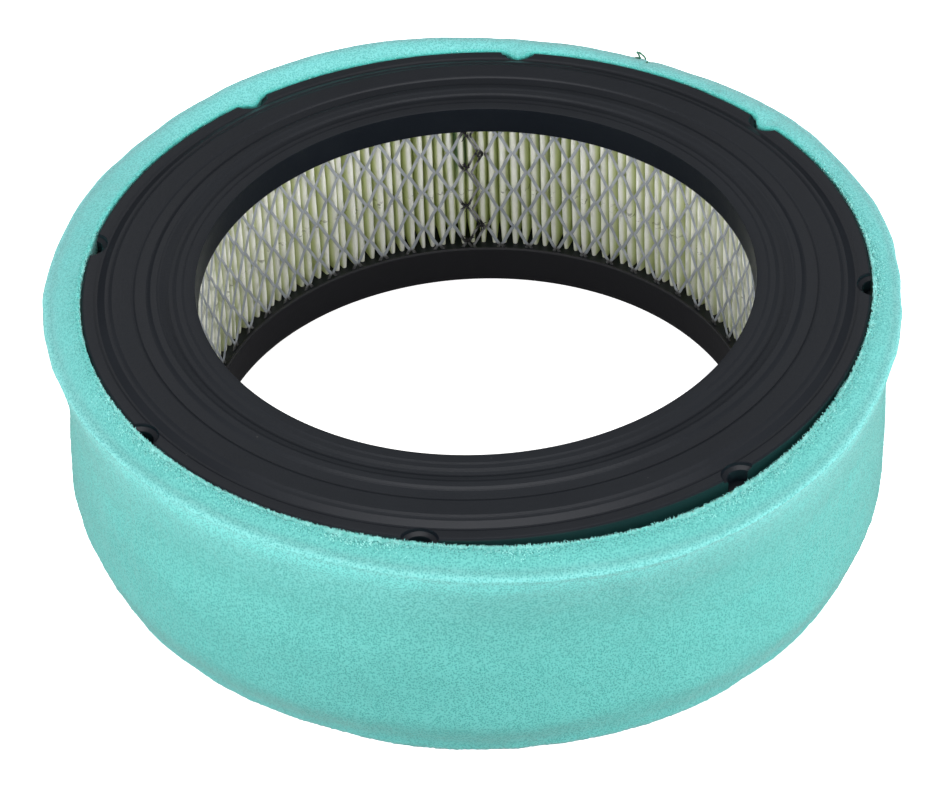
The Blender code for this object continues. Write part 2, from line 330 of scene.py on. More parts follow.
def build_foam():
    n = 1080
    ang = np.arange(n) * TAU / n
    low, mid, top, edge = (lobes(ang, x) for x in (LOBES_LOW, LOBES_MID, LOBES_TOP, LOBES_EDGE))
    gap, sunk = gap_round(ang)
    more_r, more_z = top_swell(ang)
    top, edge = top + more_r, edge + more_z
    low_right = 0.5 * bell(ang, -38, 24)
    low, mid = low + low_right, mid + low_right
    front = np.clip(0.5 - 0.75 * np.sin(ang), 0, 1)
    r_all, z_all, tags = [], [], []

    def row(r, z, arris=0.0, face=0.0, rough=0.12, inner=0.0):
        r_all.append(np.broadcast_to(r, (n,)).copy())
        z_all.append(np.broadcast_to(z, (n,)).copy())
        tags.append((arris, face, rough, inner))

    for k in np.concatenate([[0.0, 0.25, 0.7], np.linspace(1.2, 55.2, 49)]):
        base = float(pchip(OUT_LEVELS, OUT_RADII, np.array([k]))[0])
        t = k / 57
        r = base + low * max(0, 1 - 2 * t) + mid * (1 - abs(2 * t - 1)) + top * max(0, 2 * t - 1)
        z = k + edge * t**3
        row(r, z, arris=math.exp(-(((56.4 - k) / 2.1) ** 2)), rough=0.05 if k < 53 else 0.03)
    # over the arris and across the top face to the inner edge
    r_arris = OUT_RADII[-1] + top
    z_arris = 57.0 + edge
    bulge = 1.9 * sum(bell(ang, d, 1.5) for d in NOTCH_DEGS[:3])
    r_in = CAP_R + 0.1 + gap - bulge
    z_in = FLANGE_Z - sunk - 0.3 * bulge
    for a in np.radians([18, 42, 66]):
        row(r_arris - 1.5 + 1.5 * math.cos(a), z_arris - 1.6 + 1.5 * math.sin(a), arris=1.0, face=a / 1.6, rough=0.02)
    steps = 19
    for i in range(1, steps):
        t = i / steps
        r = (r_arris - 1.5) * (1 - t) + (r_in + 0.5) * t
        z = (z_arris - 0.12) * (1 - t) + z_in * t + 0.35 * math.sin(math.pi * t)
        row(r, z, arris=math.exp(-((t * 7.3 / 1.5) ** 2)), face=1.0, rough=0.03 + 0.16 * t**5, inner=t**4)
    # the inner edge, rounded over, and down inside
    for dr, close, dz, inner in ((0.12, 0.0, -0.25, 1.0), (0.0, 0.05, -0.7, 1.0), (0.0, 0.35, -1.3, 1.0), (0.0, 0.7, -2.0, 0.9)):
        row(r_in + dr - close * (gap - 0.3), z_in + dz, face=0.3, rough=0.2 if dz > -1 else 0.1, inner=inner)
    inner_low = [(87.0, 53.0), (85.3, 47.5), (84.6, 30.0), (84.45, 10.6), (81.9, 8.6), (81.1, 4.0), (81.4, 0.9), (82.6, 0.05), (84.0, 0.0)]
    for i, (r, z) in enumerate(inner_low):
        row(r + gap * (0.22 if i == 0 else 0.1 if i == 1 else 0.0), z, rough=0.05, inner=0.8)
    R = np.array(r_all).T
    Z = np.array(z_all).T
    tags = np.array(tags)
    m = R.shape[1]
    # the sewn seam: a furrow down the outside and over the top
    d_seam = ((ang - math.radians(SEAM_DEG) + math.pi) % TAU - math.pi) * 92
    furrow = np.exp(-((d_seam / 0.9) ** 2))[:, None]
    swell = np.exp(-(((np.abs(d_seam) - 3.2) / 2.2) ** 2))[:, None]
    outside = np.zeros(m)
    outside[3:55] = 1
    R = R + outside * (0.12 * swell - 0.25 * furrow)
    topside = np.zeros(m)
    topside[52:74] = 1
    Z = Z - topside * 0.18 * furrow
    X, Y = R * np.cos(ang)[:, None], R * np.sin(ang)[:, None]
    P = np.stack([X, Y, Z], -1)
    # normals of the smooth form, for the cell-scale relief
    du = np.roll(P, -1, 0) - np.roll(P, 1, 0)
    dv = np.roll(P, -1, 1) - np.roll(P, 1, 1)
    N = np.cross(du, dv)
    N /= np.linalg.norm(N, axis=-1, keepdims=True) + 1e-12
    rng = np.random.default_rng(11)
    calm = 1 - tags[:, 1].clip(0, 1)[None, :] * (1 - front[:, None]) * 0.75
    relief = rng.normal(0, 1, (n, m)).clip(-2, 2) * tags[:, 2][None, :] * calm
    flat = P.reshape(-1, 3)
    slow = np.array([noise.noise(Vector(p) * 0.045) * 0.55 + noise.noise(Vector(p) * 0.16 + Vector((7, 3, 1))) * 0.22 for p in flat]).reshape(n, m)
    keep = np.ones(m)
    keep[m - 9 :] = 0.15
    P = P + N * (relief + slow * keep[None, :])[..., None]
    along = rng.normal(0, 0.07, (n, m)) * (tags[:, 2] / 0.16)[None, :] * calm
    P[..., 0] += -np.sin(ang)[:, None] * along
    P[..., 1] += np.cos(ang)[:, None] * along
    P[..., 2] = np.maximum(P[..., 2], 0.0)
    rr = np.hypot(P[..., 0], P[..., 1])
    floor_r = np.where(Z > 52.6, CAP_R + 0.3 - bulge[:, None], 0)
    push = np.maximum(floor_r - rr, 0) / rr
    P[..., 0] += P[..., 0] * push
    P[..., 1] += P[..., 1] * push
    seam_mark = (np.exp(-((d_seam / 0.8) ** 2))[:, None] * np.ones(m)).ravel()
    inner = tags[:, 3][None, :]
    on_face = tags[:, 1].clip(0, 1)[None, :]
    smudge = np.exp(-(((ang - math.radians(49.2)) * 88.7 / 0.8) ** 2))[:, None] * np.exp(-(((rr - 88.7) / 0.8) ** 2)) * on_face
    attrs = {
        "arris": np.broadcast_to(tags[:, 0], (n, m)),
        "face": np.broadcast_to(tags[:, 1], (n, m)),
        "edge_in": inner * front[:, None],
        "rim": np.clip(inner, 0, 1) ** 5 * (1 - front[:, None]),
        "painted_sheen": on_face * ((1 - front) ** 0.8)[:, None],
        "gap_wall": (inner > 0.79) * np.clip(gap - 0.6, 0, 1.6)[:, None] / 1.6 * np.ones((n, m)),
        "smudge": smudge,
        "seam": seam_mark,
    }
    obj = quad_mesh("foam_sleeve_soft", P, ring_quads(n, m), attrs)
    shade(obj)
    return obj, (ang, r_in, z_in, r_arris, z_arris)


def build_struts(ring):
    """Cut cell struts that stand up along the sleeve's inner top edge and over its top face."""
    ang, r_in, z_in, r_arris, z_arris = ring
    rng = np.random.default_rng(5)
    count = 35000
    a = rng.uniform(0, TAU, count)
    a = a[rng.random(count) < np.clip(0.42 - 0.80 * np.sin(a), 0.04, 1)]
    count = len(a)
    t = np.where(rng.random(count) < 0.40, rng.uniform(0, 0.12, count), rng.beta(1.0, 4.0, count) * 0.7)
    ri, zi, ro, zo = (np.interp(a, np.append(ang, TAU), np.append(v, v[0])) for v in (r_in, z_in, r_arris, z_arris))
    r = ri - 0.1 + (ro - ri) * t * 0.95
    z = zi * (1 - t) + zo * t + 0.3 * np.sin(np.pi * t) - 0.22
    z -= np.where(t < 0.03, rng.uniform(0, 0.5, count), 0)
    base = np.stack([r * np.cos(a), r * np.sin(a), z], -1)
    out = np.stack([np.cos(a), np.sin(a), 0 * a], -1)
    side = np.stack([-np.sin(a), np.cos(a), 0 * a], -1)
    up = np.array([0, 0, 1.0])
    way = up * rng.uniform(0.35, 1.0, count)[:, None] + side * rng.normal(0, 0.7, count)[:, None] - out * (rng.normal(0.15, 0.5, count) * (1 - t))[:, None]
    way /= np.linalg.norm(way, axis=1, keepdims=True)
    length = rng.uniform(0.42, 0.90, count) * (1 - 0.5 * np.clip(t / 0.5, 0, 1)) * np.clip(0.7 - 0.5 * np.sin(a), 0.4, 1)
    tip = base + way * length[:, None]
    far = np.hypot(tip[:, 0], tip[:, 1])
    keep = far > CAP_R + 0.12
    tip[:, 2] = np.minimum(tip[:, 2], FLANGE_Z + 0.8)
    thick = rng.uniform(0.05, 0.09, count)
    u = np.cross(way, side + 1e-3)
    u /= np.linalg.norm(u, axis=1, keepdims=True)
    v = np.cross(way, u)
    sel = np.nonzero(keep)[0]
    ring4 = [(math.cos(q * math.pi / 2), math.sin(q * math.pi / 2)) for q in range(4)]
    rows = []
    for end, scale in ((base, 1.2), (tip, 0.6)):
        for c, s in ring4:
            rows.append(end[sel] + (u[sel] * c + v[sel] * s) * thick[sel, None] * scale)
    verts = np.stack(rows, 1).reshape(-1, 3)
    faces = np.array([(0, 1, 5, 4), (1, 2, 6, 5), (2, 3, 7, 6), (3, 0, 4, 7), (3, 2, 1, 0), (4, 5, 6, 7)])
    quads = (faces[None] + (np.arange(len(sel)) * 8)[:, None, None]).reshape(-1, 4)
    obj = quad_mesh("foam_cut_struts", verts, quads, {"strut": np.ones(len(verts))})
    shade(obj, 50)
    return obj


def foam_material():
    m = Mat("foam_open_cell")
    cells = m.voronoi(2350.0, "F1")
    fine = m.noise(4000.0, 2.0, 0.6)
    patch = m.noise(60.0, 3.0, 0.55)
    face = m.attribute("face")
    pore = m.span(cells, 0.10, 0.66)
    grain = m.math("MULTIPLY_ADD", m.math("SUBTRACT", fine, 0.5), 0.8, pore)
    # coarser contrast on the wall than on the cut top face
    depth = m.math("MULTIPLY_ADD", m.math("MINIMUM", face, 1.0), -0.75, 1.85)
    level = m.math("MULTIPLY_ADD", m.math("SUBTRACT", grain, 0.55), depth, 0.5)
    colour = m.ramp(level, [(0.0, (0.079, 0.358, 0.328)), (0.36, (0.115, 0.450, 0.418)), (0.66, (0.138, 0.502, 0.466)), (1.0, (0.172, 0.566, 0.528))])
    colour = m.mix(m.span(patch, 0.3, 0.7, 0.0, 0.14), colour, (0.104, 0.430, 0.395))
    # painted light: the upper wall, up to the lip, is painted paler than the wall below it, to make up for the shade
    # where it flares out
    pale = m.math("MULTIPLY", m.span(m.height(), 0.036, 0.056, smooth=True), m.math("SUBTRACT", 1.0, m.math("MINIMUM", face, 1.0)))
    colour = m.mix(pale, colour, (1.36, 1.25, 1.27), "MULTIPLY")
    wall = m.math("SUBTRACT", 1.0, m.math("MINIMUM", face, 1.0))
    # painted light: the top few millimetres of the wall, just below the arris, are painted brighter and greener
    colour = m.mix(m.math("MULTIPLY", m.span(m.height(), 0.0475, 0.0555, smooth=True), wall), colour, (1.13, 1.22, 1.22), "MULTIPLY")
    # painted shade: the sleeve is painted a little darker below mid height
    colour = m.mix(m.span(m.height(), 0.036, 0.022, smooth=True), colour, (0.90, 0.93, 0.93), "MULTIPLY")
    # painted shade: the top face is painted a little darker than the wall, for the stronger light it gets from above
    colour = m.mix(m.math("MULTIPLY", m.math("MINIMUM", face, 1.0), 1.0), colour, (0.90, 0.89, 0.90), "MULTIPLY")
    # painted shade: the arris is painted darker and less green, to tone down its highlight
    colour = m.mix(m.attribute("arris"), colour, (1.06, 0.88, 0.90), "MULTIPLY")
    # painted light: the lowest few millimetres of the wall, which face down, are painted brighter and greener
    colour = m.mix(m.math("MULTIPLY", m.span(m.height(), 0.0070, 0.0015, smooth=True), wall), colour, (1.0, 1.16, 1.17), "MULTIPLY")
    # painted sheen: the top face is painted paler towards the back and sides, for the sheen it shows in grazing light
    colour = m.mix(m.attribute("painted_sheen"), colour, (1.38, 1.22, 1.27), "MULTIPLY")
    # painted shade: near the inner top edge at the front, the pores are painted dark for the shade between the cut
    # struts
    edge = m.attribute("edge_in")
    pore_shade = m.math("MULTIPLY", edge, m.span(cells, 0.46, 0.20, 0.10, 1.0))
    colour = m.mix(pore_shade, colour, (0.024, 0.155, 0.142))
    # painted shade: along the inner top edge at the back and sides, the foam is painted a darker, deeper teal for the
    # shade beside the cap
    colour = m.mix(m.math("MULTIPLY", m.attribute("rim"), 0.7), colour, (0.036, 0.400, 0.345))
    colour = m.mix(m.math("MULTIPLY", m.attribute("seam"), 0.30), colour, (0.06, 0.34, 0.30))
    colour = m.mix(m.math("MULTIPLY", m.attribute("smudge"), 0.45), colour, (0.10, 0.26, 0.25))
    m.link(colour, m.bsdf.inputs["Base Color"])
    m.bsdf.inputs["Roughness"].default_value = 0.92
    m.bsdf.inputs["Specular IOR Level"].default_value = 0.10
    m.bsdf.inputs["Subsurface Weight"].default_value = 0.15
    m.bsdf.inputs["Subsurface Radius"].default_value = (0.3, 1.0, 0.9)
    m.bsdf.inputs["Subsurface Scale"].default_value = 0.0014
    m.bsdf.inputs["Sheen Weight"].default_value = 0.26
    m.bsdf.inputs["Sheen Roughness"].default_value = 0.35
    # painted light: a faint teal glow where the sleeve stands off the cap, for light that comes through the open cells
    # there
    m.bsdf.inputs["Emission Color"].default_value = (0.10, 0.62, 0.56, 1)
    m.link(m.math("MULTIPLY", m.attribute("gap_wall"), m.span(cells, 0.1, 0.6, 0.10, 0.22)), m.bsdf.inputs["Emission Strength"])
    normal = m.bump(grain, 0.00013, 0.6)
    m.link(normal, m.bsdf.inputs["Normal"])
    return m.mat


def strut_material():
    m = Mat("foam_cut_ends")
    n = m.noise(900.0, 3.0, 0.6)
    m.link(m.mix(m.span(n, 0.3, 0.7), (0.15, 0.58, 0.54), (0.43, 0.86, 0.83)), m.bsdf.inputs["Base Color"])
    m.bsdf.inputs["Roughness"].default_value = 0.85
    m.bsdf.inputs["Specular IOR Level"].default_value = 0.25
    m.bsdf.inputs["Sheen Weight"].default_value = 0.3
    m.link(m.bump(n, 0.00004, 0.5), m.bsdf.inputs["Normal"])
    return m.mat


# ------------------------------------------------------------------- end caps
def cap_angles(base=360, near=26, spread=5.2, radius=CAP_R, notches=True):
    """Angles round a cap, closer together beside each notch."""
    angles = list(np.arange(base) * TAU / base)
    if notches:
        for degrees in NOTCH_DEGS:
            c = math.radians(degrees)
            angles += [(c + s / radius) % TAU for s in np.linspace(-spread, spread, near)]
    angles = np.array(sorted(angles))
    keep = [angles[0]]
    for a in angles[1:]:
        if a - keep[-1] > 0.0016:
            keep.append(a)
    return np.array(keep)


# The face of a cap from its rim to its bore: radius, height above the rim flange, fillet.
FACE = [
    (86.5, -0.45, 0.35), (86.1, 0.0, 0.25), (83.9, 0.03, 0.12), (83.45, -0.13, 0.12), (83.0, -0.13, 0.2), (82.45, 0.1, 0.45),
    (81.35, 0.54, 0.35), (80.85, 0.57, 0.3), (80.45, 0.64, 0.3), (79.75, 0.84, 0.45), (75.5, 0.82, 0.3), (75.15, 0.74, 0.15),
    (74.75, 0.53, 0.12), (74.3, 0.57, 0.4), (73.2, 0.66, 0.8), (72.35, 0.74, 0.6), (71.9, 0.86, 0.5), (71.3, 1.1, 0.5),
    (70.6, 1.16, 0.5), (70.0, 1.22, 0.25), (69.7, 1.18, 0.15), (69.35, 1.08, 0.2), (68.45, 1.03, 0.3), (68.15, 0.98, 0.25),
    (67.65, 0.78, 0.25), (67.3, 0.75, 0.3), (66.5, 0.87, 0.6), (65.6, 1.11, 0.4), (64.5, 1.15, 0.2), (63.9, 1.3, 0.25),
]
# The upper cap's bore tapers in below a crisp corner; the lower cap's corner is rounded.
CRISP_LIP = [(61.5, 1.3, 0.1), (61.2, -4.3, 0.3)]
ROUND_LIP = [(62.1, 1.3, 0.6), (61.2, 1.12, 0.6), (60.7, 0.6, 0.5), (60.6, -0.3, 0.5)]


def upper_section():
    rest = [(61.2, -5.0, 0.15), (61.6, -5.15, 0.2), (62.2, -4.6, 0.3), (79.5, -4.6, 0.3), (86.1, -4.75, 0.3), (86.5, -4.35, 0.3)]
    pts = [(r, FLANGE_Z + h, rho) for r, h, rho in FACE + CRISP_LIP + rest]
    return filleted(pts, 4)


def lower_section():
    e = LOWER_CAP_R - CAP_R
    rest = [(60.6, 8.05, 0.2), (60.85, 8.4, 0.18), (61.15, 8.42, 0.15), (61.5, 7.95, 0.2), (79.5, 8.0, 0.3), (83.6, 8.45, 0.3), (84.0, 8.05, 0.3)]
    face = [(r + (e if r > 79 else 0), -h, rho) for r, h, rho in FACE + ROUND_LIP]
    pts = [(r, LOWER_FACE_Z + h, rho) for r, h, rho in face + rest]
    return filleted(pts, 4)


def notch_cutters():
    """Half-round notches in the rim: a wide shallow step at the face and a narrower slot below."""
    section = [(-4.0, 2.8), (-1.6, 2.85), (-1.25, 2.95), (-1.1, 3.2), (-1.0, 3.6), (-0.8, 3.95), (-0.3, 4.1), (-0.05, 4.18), (0.1, 4.35), (2.5, 4.4)]
    bm = bmesh.new()
    sides = 40
    for degrees in NOTCH_DEGS:
        a = math.radians(degrees)
        cx, cy = 87.4 * math.cos(a), 87.4 * math.sin(a)
        rings = []
        for h, rho in section:
            ring = []
            for q in range(sides):
                w = TAU * q / sides
                ring.append(bm.verts.new(((cx + math.cos(a + w) * rho) * MM, (cy + math.sin(a + w) * rho) * MM, (FLANGE_Z + h) * MM)))
            rings.append(ring)
        for lo, hi in zip(rings, rings[1:]):
            for q in range(sides):
                bm.faces.new((lo[q], lo[(q + 1) % sides], hi[(q + 1) % sides], hi[q]))
        bm.faces.new(rings[0][::-1])
        bm.faces.new(rings[-1])
    bmesh.ops.recalc_face_normals(bm, faces=bm.faces)
    mesh = bpy.data.meshes.new("notch_cutters")
    bm.to_mesh(mesh)
    bm.free()
    obj = bpy.data.objects.new("notch_cutters", mesh)
    bpy.context.scene.collection.objects.link(obj)
    return obj


def apply_boolean(obj, cutter):
    mod = obj.modifiers.new("cut", "BOOLEAN")
    mod.operation = "DIFFERENCE"
    mod.solver = "EXACT"
    mod.object = cutter
    dg = bpy.context.evaluated_depsgraph_get()
    mesh = bpy.data.meshes.new_from_object(obj.evaluated_get(dg), depsgraph=dg)
    obj.modifiers.clear()
    old = obj.data
    obj.data = mesh
    bpy.data.meshes.remove(old)
    bpy.data.objects.remove(cutter)


def build_caps():
    section = refine(upper_section(), 1.2)[::-1]
    upper = turned("upper_cap_moulding", section, cap_angles())
    apply_boolean(upper, notch_cutters())
    shade(upper, 38)
    section = refine(lower_section(), 2.0)
    lower = turned("lower_cap_moulding", section, cap_angles(300, notches=False))
    shade(lower, 38)
    return upper, lower


def cap_material():
    m = Mat("moulded_urethane_black")
    r = m.radius()
    mottled = m.noise(55.0, 4.0, 0.6)
    fine = m.noise(1500.0, 3.0, 0.6)
    skin = m.noise(420.0, 3.0, 0.55)
    specks = m.voronoi(210.0, "F1")
    speck = m.span(specks, 0.045, 0.02, 0.0, 0.55)
    colour = m.mix(m.span(mottled, 0.3, 0.75), (0.0034, 0.0050, 0.0078), (0.0052, 0.0072, 0.0103))
    colour = m.mix(m.math("MULTIPLY", speck, m.span(m.noise(30.0, 1.0), 0.56, 0.7)), colour, (0.12, 0.12, 0.12))
    # painted reflection: the rim's side wall is tinted teal, for the foam reflected in it
    colour = m.mix(m.math("MULTIPLY", m.span(r, 0.08638, 0.08648), m.span(mottled, 0.2, 0.8, 0.7, 1.0)), colour, (0.004, 0.020, 0.020))
    # painted light: the lower cap's bore wall is painted lighter and greyer, for the little light that reaches down the
    # bore
    bore_fill_light = m.math("MULTIPLY", m.span(r, 0.0618, 0.0612), m.span(m.height(), 0.030, 0.025))
    colour = m.mix(bore_fill_light, colour, (0.0145, 0.0145, 0.0170))
    m.link(colour, m.bsdf.inputs["Base Color"])
    m.link(m.math("MULTIPLY_ADD", m.span(r, 0.0859, 0.0862), 0.22, m.span(mottled, 0.25, 0.8, 0.31, 0.40)), m.bsdf.inputs["Roughness"])
    m.bsdf.inputs["Specular IOR Level"].default_value = 0.38
    m.bsdf.inputs["Specular Tint"].default_value = (0.98, 0.97, 1.0, 1)
    # faint rings left by the turned mould
    comb = m.node("ShaderNodeCombineXYZ")
    m.link(m.math("MULTIPLY", r, 2400.0), comb.inputs[0])
    wave = m.noise(1.0, 2.0, 0.5, vector=comb.outputs[0])
    height = m.math("ADD", m.math("MULTIPLY", wave, 0.30), m.math("ADD", m.math("MULTIPLY", skin, 0.5), m.math("MULTIPLY", fine, 0.55)))
    m.link(m.bump(height, 0.00006, 0.9), m.bsdf.inputs["Normal"])
    return m.mat


# -------------------------------------------------------------------- screens
SHEET_START = 94.55      # azimuth of node 0 of the inner screen's left side
ROW_Z = 37.0
ROW_H = 5.34


def node_azimuth(u):
    """Azimuth, in degrees, of the sheet's node column u: the pitch is slightly uneven round the tube."""
    left = SHEET_START + 6.25 * u
    a14, right14 = SHEET_START + 6.25 * 14, 447.18 - 6.19 * 14
    middle = a14 + (right14 - a14) * (u - 14) / 29.0
    right = 447.18 - 6.19 * (57 - u)
    return np.where(u <= 14, left, np.where(u >= 43, right, middle))


def strand_path(side, rows, h, half):
    """One zigzag strand in (u, z): it meets the next strand on either side in turn, side by side."""
    pts = []
    for j in range(rows + 1):
        at_left = (j + side) % 2 == 1
        x = half if at_left else 0.5 - half
        z = j * h
        if j > 0:
            pts.append((x + (0.25 - x) * 0.04, z - 0.36))
        pts.append((x, z))
        pts.append((x + (0.25 - x) * 0.04, z + 0.36))
        if j < rows:
            nx = 0.5 - half if at_left else half
            for t in (0.14, 0.3, 0.5, 0.7, 0.86):
                pts.append((x + (nx - x) * t, z + h * t))
    return pts


def bar_mesh(paths, radius_at, width, thick, tilt):
    """Flat bars with rounded edges along paths of (azimuth in degrees, z in mm) on a tube."""
    section = [(-0.5, -0.5), (0.0, -0.56), (0.5, -0.5), (0.62, 0.0), (0.5, 0.5), (0.0, 0.58), (-0.5, 0.5), (-0.62, 0.0)]
    sec = np.array(section) / np.array([1.24, 1.14])
    ns = len(sec)
    verts, quads, base = [], [], 0
    for path in paths:
        az = np.radians([p[0] for p in path])
        z = np.array([p[1] for p in path])
        rad = np.array([radius_at(p[0], p[1]) for p in path])
        c = np.stack([rad * np.cos(az), rad * np.sin(az), z], -1)
        t = np.gradient(c, axis=0)
        t /= np.linalg.norm(t, axis=1, keepdims=True)
        out = np.stack([np.cos(az), np.sin(az), 0 * az], -1)
        across = np.cross(out, t)
        across /= np.linalg.norm(across, axis=1, keepdims=True)
        # a strand leans one way as it rises to the left and the other to the right
        lean = tilt * np.sign(t @ np.array([0, 0, 1.0])) * np.einsum("ij,ij->i", t, np.stack([-np.sin(az), np.cos(az), 0 * az], -1)) * 2
        ca, sa = np.cos(lean)[:, None], np.sin(lean)[:, None]
        w_dir = across * ca + out * sa
        n_dir = out * ca - across * sa
        wide = width * (1 - 0.26 * np.exp(-(((np.degrees(az) % 360 - 89.8) / 2.3) ** 4)) * (rad < 70))
        ring = c[:, None, :] + w_dir[:, None, :] * wide[:, None, None] * sec[None, :, :1] + n_dir[:, None, :] * (sec[:, 1] * thick)[None, :, None]
        m = len(path)
        verts.append(ring.reshape(-1, 3))
        for i in range(m - 1):
            for s in range(ns):
                a0, a1 = base + i * ns + s, base + i * ns + (s + 1) % ns
                quads.append((a0, a1, a1 + ns, a0 + ns))
        for i, flip in ((0, True), (m - 1, False)):
            o = base + i * ns
            cap = [(o, o + 1, o + 6, o + 7), (o + 1, o + 2, o + 5, o + 6), (o + 2, o + 3, o + 4, o + 5)]
            quads += [q[::-1] if flip else q for q in cap]
        base += m * ns
    return np.concatenate(verts), np.array(quads)


def fix_normals(obj):
    bm = bmesh.new()
    bm.from_mesh(obj.data)
    bmesh.ops.recalc_face_normals(bm, faces=bm.faces)
    bm.to_mesh(obj.data)
    bm.free()
    return obj


WELDS = [(90.9, 52.8), (88.1, 46.8), (91.0, 43.6), (91.1, 32.4), (88.2, 26.6), (91.1, 22.4)]
# the cut strand ends that stick out at each weld: degrees from straight up, towards the left
STUBS = {0: (35, 150), 1: (165,), 2: (20, 50, 75, 150), 3: (25, 48, 72, 112, 160), 4: (-60, 170, 130), 5: (40, 80, 110, -70)}


def build_inner_screen():
    rows = 8
    z0 = ROW_Z - 4 * ROW_H
    width, thick = 0.74, 0.24
    half = 0.5 * width / 6.75
    paths = []
    u_end = 57
    for m in range(-2, 2 * u_end + 1):
        # strand m lies between node columns m/2 and m/2 + 1/2
        u0 = m / 2
        path = strand_path((m + 1) % 2, rows, ROW_H, half)
        pts = []
        for x, z in path:
            u = u0 + x
            a = float(node_azimuth(np.array(u)))
            jump = -0.5 * np.clip((u - 30) / 20, 0, 1)
            pts.append((a, z0 + z + jump, u))
        # the sheet is cut off where its ends overlap, and goes into the lower cap
        pts = [p for p in pts if p[2] > -1.12 and p[2] < u_end + 0.82 and p[1] > 19.0]
        run = []
        last = None
        for p in pts:
            if last is not None and abs(p[1] - last[1]) > 2.2:
                if len(run) > 2:
                    paths.append([(q[0], q[1]) for q in run])
                run = []
            run.append(p)
            last = p
        if len(run) > 2:
            paths.append([(q[0], q[1]) for q in run])

    def radius_at(az, z):
        # the end that laps inside stands off the other by a sheet's thickness
        ramp = min(1.0, max(0.0, (az - 440.0) / 8.0))
        return 62.15 - 0.5 * ramp

    co, quads = bar_mesh(paths, radius_at, width, thick, 0.16)
    az = np.degrees(np.arctan2(co[:, 1], co[:, 0]))
    burn_and_dark_foot = 0.26 * np.exp(-(((az - 89.8) / 2.2) ** 4))
    # the strands are also darker and browner just above the lower cap
    burn_and_dark_foot = np.maximum(burn_and_dark_foot, 0.45 * np.clip((21.3 - co[:, 2]) / 0.8, 0, 1))
    for a, z in WELDS:
        d2 = ((az - a) * math.radians(1) * 62) ** 2 + (co[:, 2] - z) ** 2
        burn_and_dark_foot = np.maximum(burn_and_dark_foot, np.exp(-d2 / 2.4))
    obj = quad_mesh("inner_screen_mesh", co, quads, {"burn_and_dark_foot": burn_and_dark_foot})
    fix_normals(obj)
    return shade(obj, 45)


def build_outer_screen():
    rows = 7
    columns = 73
    width, thick = 0.78, 0.26
    half = 0.5 * width / (TAU * 78.7 / columns)
    paths = []
    for m in range(2 * columns):
        pts = [((m / 2 + x) * 360.0 / columns + 3.0, 18.4 + z) for x, z in strand_path(m % 2, rows, 5.3, half)]
        paths.append(pts)
    co, quads = bar_mesh(paths, lambda a, z: 78.75, width, thick, 0.16)
    obj = quad_mesh("outer_screen_mesh", co, quads, {"burn_and_dark_foot": np.zeros(len(co))})
    fix_normals(obj)
    return shade(obj, 45)


def weld_blobs():
    """Small rough beads where the lapped sheet ends are spot-welded."""
    bm = bmesh.new()
    rnd = random.Random(4)
    for a, z in WELDS:
        for k in range(3):
            az = math.radians(a + rnd.uniform(-0.5, 0.5))
            r = 61.75 + rnd.uniform(-0.1, 0.15)
            c = Vector((r * math.cos(az), r * math.sin(az), z + rnd.uniform(-0.7, 0.7)))
            made = bmesh.ops.create_icosphere(bm, subdivisions=2, radius=1.0)
            size = rnd.uniform(0.20, 0.36)
            seed = Vector((rnd.uniform(0, 50), rnd.uniform(0, 50), 0))
            for v in made["verts"]:
                d = v.co.copy()
                bump = 1 + 0.5 * noise.noise(d * 1.6 + seed)
                v.co = (c + d * size * bump) * MM
    for index, (a, z) in enumerate(WELDS):
        az = math.radians(a)
        out = Vector((math.cos(az), math.sin(az), 0))
        left = Vector((-math.sin(az), math.cos(az), 0))
        for turn in STUBS[index]:
            w = math.radians(turn + rnd.uniform(-6, 6))
            way = (Vector((0, 0, 1)) * math.cos(w) + left * math.sin(w) - out * rnd.uniform(0.0, 0.12)).normalized()
            foot = out * 61.5 + Vector((0, 0, z))
            across = way.cross(out).normalized()
            deep = way.cross(across)
            long = rnd.uniform(1.3, 2.1)
            rings = []
            for t, wide in ((0.0, 0.20), (0.5, 0.16), (0.85, 0.11), (1.0, 0.04)):
                c = foot + way * (t * long) + across * (0.06 * math.sin(3 * t))
                rings.append([bm.verts.new((c + across * (wide * cx) + deep * (0.6 * wide * cy)) * MM) for cx, cy in ((1, 0), (0.5, 0.9), (-0.5, 0.9), (-1, 0), (-0.5, -0.9), (0.5, -0.9))])
            for lo, hi in zip(rings, rings[1:]):
                for q in range(6):
                    bm.faces.new((lo[q], lo[(q + 1) % 6], hi[(q + 1) % 6], hi[q]))
            bm.faces.new(rings[0][::-1])
            bm.faces.new(rings[-1])
    bmesh.ops.recalc_face_normals(bm, faces=bm.faces)
    mesh = bpy.data.meshes.new("screen_weld_spots")
    bm.to_mesh(mesh)
    bm.free()
    obj = bpy.data.objects.new("screen_weld_spots", mesh)
    bpy.context.scene.collection.objects.link(obj)
    return shade(obj)


